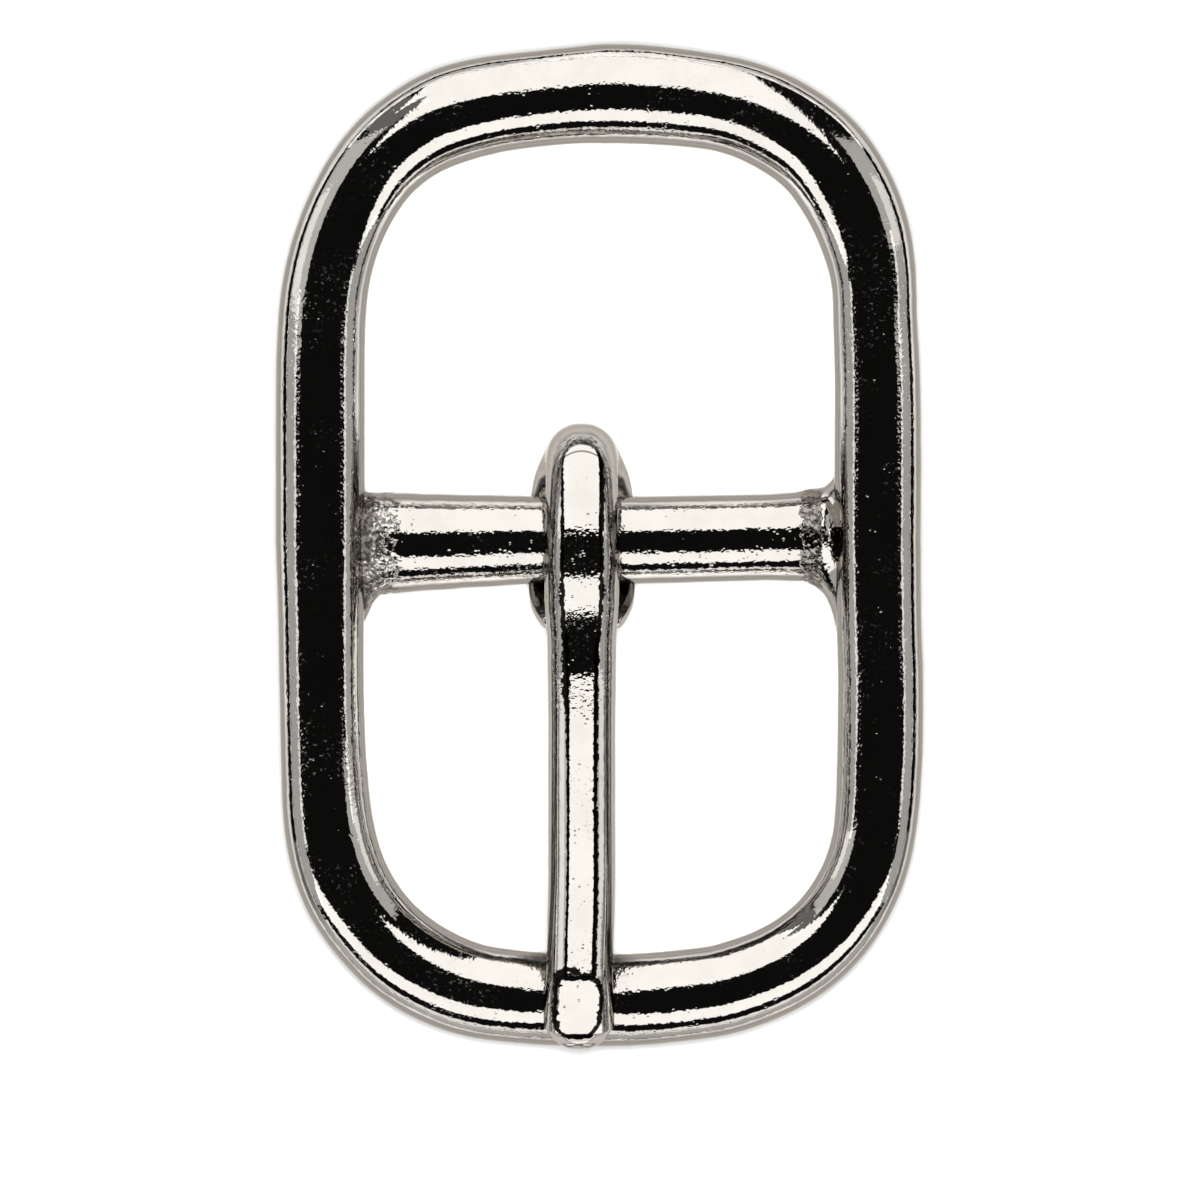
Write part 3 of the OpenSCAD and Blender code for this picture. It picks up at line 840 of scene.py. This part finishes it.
def make_tongue():
    """The tongue, as sections from its tip to the end of its tab. For the finish its mesh keeps the distance
    to its dark lines (dark_line), painted shade beside its flat and a line round its facet, and to the arch
    that ends its flat (arch), along which a line of painted shade runs."""
    rows = tip_stations() + shank_stations() + eye_stations()
    bm = bmesh.new()
    dark_line = bm.verts.layers.float.new("dark_line")
    arch = bm.verts.layers.float.new("arch")
    rims = []
    for row in rows:
        made = bmesh.ops.create_circle(bm, cap_ends=False, radius=1.0, segments=SECTION_SIDES)
        verts = made["verts"]
        middle_x = TONGUE_X + tongue_drift(row["c"].x)
        for v in verts:
            front, up = v.co.y > 0 and row["square"] < 3, v.co.y
            x, y = section_shape(v.co.x, v.co.y, row)
            place = row["c"] + row["n"] * y
            if "end" in row:
                wire = plan_outline(place.x, TIP_END, PLAN_ROUND)
                flat = plan_outline(place.x, FLAT_END, FLAT_ROUND)
                x *= lerp(wire, min(wire, flat), smoothstep(0.2, 0.8, up))
            # Distance to the painted dark lines: shade beside the flat, and the line round the facet
            v[dark_line] = dark_line_distance(x, place.x, row) if front else FAR_OFF
            # Distance to the crown of the arch, where a line of painted shade runs
            arched = front and place.x > 4.0 and abs(x) < ARCH_HALF
            v[arch] = place.x - ARCH_Y + ARCH_FALL * x * x if arched else FAR_OFF
            v.co = Vector((middle_x + x, BAR_Y + place.x, BAR_Z + place.y))
        rims.append(circle_edges(verts))
    skin(bm, rims)
    return bm


finish_piece(make_ring(), "ring_wire", "frame", ring_plate, "frame")
finish_piece(make_bar(), "centre_bar", "frame", bar_plate)
finish_piece(make_weld(-1, LEFT_WELD), "left_weld", "frame", left_weld_plate)
finish_piece(make_weld(1, RIGHT_WELD), "right_weld", "frame", right_weld_plate)
finish_piece(make_tongue(), "tongue_wire", "tongue", tongue_plate, "tongue")


# ---------------------------------------------------------------- floor, light and camera

FLOOR_HALF = 3.0  # metres


def make_floor():
    """Pale matt floor under the buckle."""
    bm = bmesh.new()
    bmesh.ops.create_grid(bm, x_segments=2, y_segments=2, size=FLOOR_HALF)
    mesh = bpy.data.meshes.new("floor")
    bm.to_mesh(mesh)
    bm.free()
    floor = bpy.data.objects.new("floor", mesh)
    bpy.context.scene.collection.objects.link(floor)
    f = Finish("pale_floor")
    speck = f.noise(900, 3, 0.6)
    mesh.materials.append(f.set(Base_Color=f.mix(speck * 0.5, (0.66, 0.66, 0.655, 1), (0.62, 0.62, 0.615, 1)),
                                Roughness=0.9, Specular_IOR_Level=0.1))


BOX_FAR = 1.5  # metres from the buckle to each softbox


def softbox(name, zenith, azimuth, near, far, left, right, radiance):
    """Flat rectangular light square to the line from the buckle at zenith from straight up and azimuth from
    +Y towards +X. It reaches from the angle near to the angle far from straight up, and to the slopes left
    and right beside its middle."""
    z, a = math.radians(zenith), math.radians(azimuth)
    out = Vector((math.sin(z) * math.sin(a), math.sin(z) * math.cos(a), math.cos(z)))
    down = Vector((math.cos(z) * math.sin(a), math.cos(z) * math.cos(a), -math.sin(z)))
    side = down.cross(out)
    v0, v1 = math.tan(math.radians(near - zenith)), math.tan(math.radians(far - zenith))
    light = bpy.data.lights.new(name, "AREA")
    light.shape = "RECTANGLE"
    light.size, light.size_y = (left + right) * BOX_FAR, (v1 - v0) * BOX_FAR
    light.energy = radiance * math.pi * light.size * light.size_y
    lamp = bpy.data.objects.new(name, light)
    bpy.context.scene.collection.objects.link(lamp)
    place = (out + down * (v0 + v1) / 2 + side * (right - left) / 2) * BOX_FAR
    lamp.matrix_world = Matrix.Translation(place) @ Matrix((side, down, out)).transposed().to_4x4()
    lamp.visible_camera = False


# Radiance of the softboxes, of the strips and of the side cards
WHITE, PALE, GREY = 1.24, 0.95, 0.42
softbox("upper_softbox_high", 50, 0, 14.3, 55, 0.47, 0.39, WHITE)
softbox("upper_softbox_low", 50, 0, 55, 89.5, 0.66, 0.36, WHITE)
softbox("lower_softbox", 50, 180, 28, 58, 1.7, 1.7, WHITE)
softbox("lower_strip", 86, 180, 79, 89, 1.6, 1.6, PALE)
for name, turn in (("right_card", 90), ("left_card", -90)):
    softbox(name + "_edge", 60, turn, 55.5, 62, 0.16, 0.16, PALE)
    softbox(name, 76, turn, 62.5, 89, 0.5, 0.5, GREY)
for name, turn, glow in (("right_corner_card", 66, 0.48), ("left_corner_card", -66, 0.56)):
    softbox(name, 68, turn, 43, 89, 0.29, 0.29, glow)
softbox("left_corner_shade", 68, -40, 40, 89, 0.12, 0.12, 0.15)

# Overhead light, 7 cm wide, for the floor alone: it is left out of the reflections
overhead = bpy.data.lights.new("overhead", "AREA")
overhead.shape, overhead.size, overhead.size_y = "RECTANGLE", 0.07, 0.07
overhead.energy = 3.6
overhead_lamp = bpy.data.objects.new("overhead", overhead)
overhead_lamp.location = (0, 0, 0.4)
overhead_lamp.visible_camera = overhead_lamp.visible_glossy = False
bpy.context.scene.collection.objects.link(overhead_lamp)


def make_flag(name, turn, distance, width, low, high, glow):
    """Upright card close to the buckle, which only shows in reflections: a glowing card is painted light in
    place of lit surroundings, a black one painted shade. It stands where turn says from +Y towards +X, at a
    distance and with a width in metres, from low to high in millimetres over the floor."""
    bm = bmesh.new()
    bmesh.ops.create_grid(bm, x_segments=1, y_segments=1, size=0.5,
                          matrix=Matrix.Diagonal((width, (high - low) * MM, 1, 1)))
    stand = (Matrix.Rotation(-math.radians(turn), 4, "Z")
             @ Matrix.Translation((0, distance, (low + high) / 2 * MM))
             @ Matrix.Rotation(math.pi / 2, 4, "X"))
    bmesh.ops.transform(bm, matrix=stand, verts=bm.verts)
    mesh = bpy.data.meshes.new(name)
    bm.to_mesh(mesh)
    bm.free()
    flag = bpy.data.objects.new(name, mesh)
    bpy.context.scene.collection.objects.link(flag)
    flag.visible_camera = flag.visible_shadow = flag.visible_diffuse = False
    mesh.materials.append(Finish(name + "_reflection_card").set(
        Base_Color=(0.01, 0.01, 0.01, 1), Roughness=0.9, Specular_IOR_Level=0.0,
        Emission_Color=(1, 0.99, 0.97, 1), Emission_Strength=glow))


# Black cards at the sides and above, painted shade in the reflections; glowing cards below, painted light
for name, turn in (("left_flag", -90), ("right_flag", 90)):
    make_flag(name, turn, 0.036, 0.075, 0.0, 5.4, 0.0)
make_flag("upper_flag", 0, 0.0375, 0.075, 0.9, 2.6, 0.0)
make_flag("lower_flag", 180, 0.0395, 0.075, 0.0, 5.6, 0.50)
for name, turn in (("lower_left_flag", -135), ("lower_right_flag", 135)):
    make_flag(name, turn, 0.039, 0.030, 0.0, 5.6, 0.50)

world = bpy.data.worlds.new("dim_studio")
world.use_nodes = True
world.node_tree.nodes["Background"].inputs["Color"].default_value = (0.005, 0.005, 0.005, 1)
bpy.context.scene.world = world
make_floor()

# The camera looks straight down from VIEW_HEIGHT and takes in VIEW_SPAN, in metres
VIEW_SPAN, VIEW_Y, VIEW_HEIGHT, SENSOR = 0.066, -0.0029225, 1.0, 36
scene = bpy.context.scene
scene.view_settings.view_transform = "Standard"
camera = bpy.data.cameras.new("camera")
camera.sensor_width = SENSOR
camera.lens = SENSOR * VIEW_HEIGHT / VIEW_SPAN
camera.clip_start, camera.clip_end = 0.05, 10
eye = bpy.data.objects.new("camera", camera)
eye.location = (0, VIEW_Y, VIEW_HEIGHT + BAR_Z * MM)
scene.collection.objects.link(eye)
scene.camera = eye
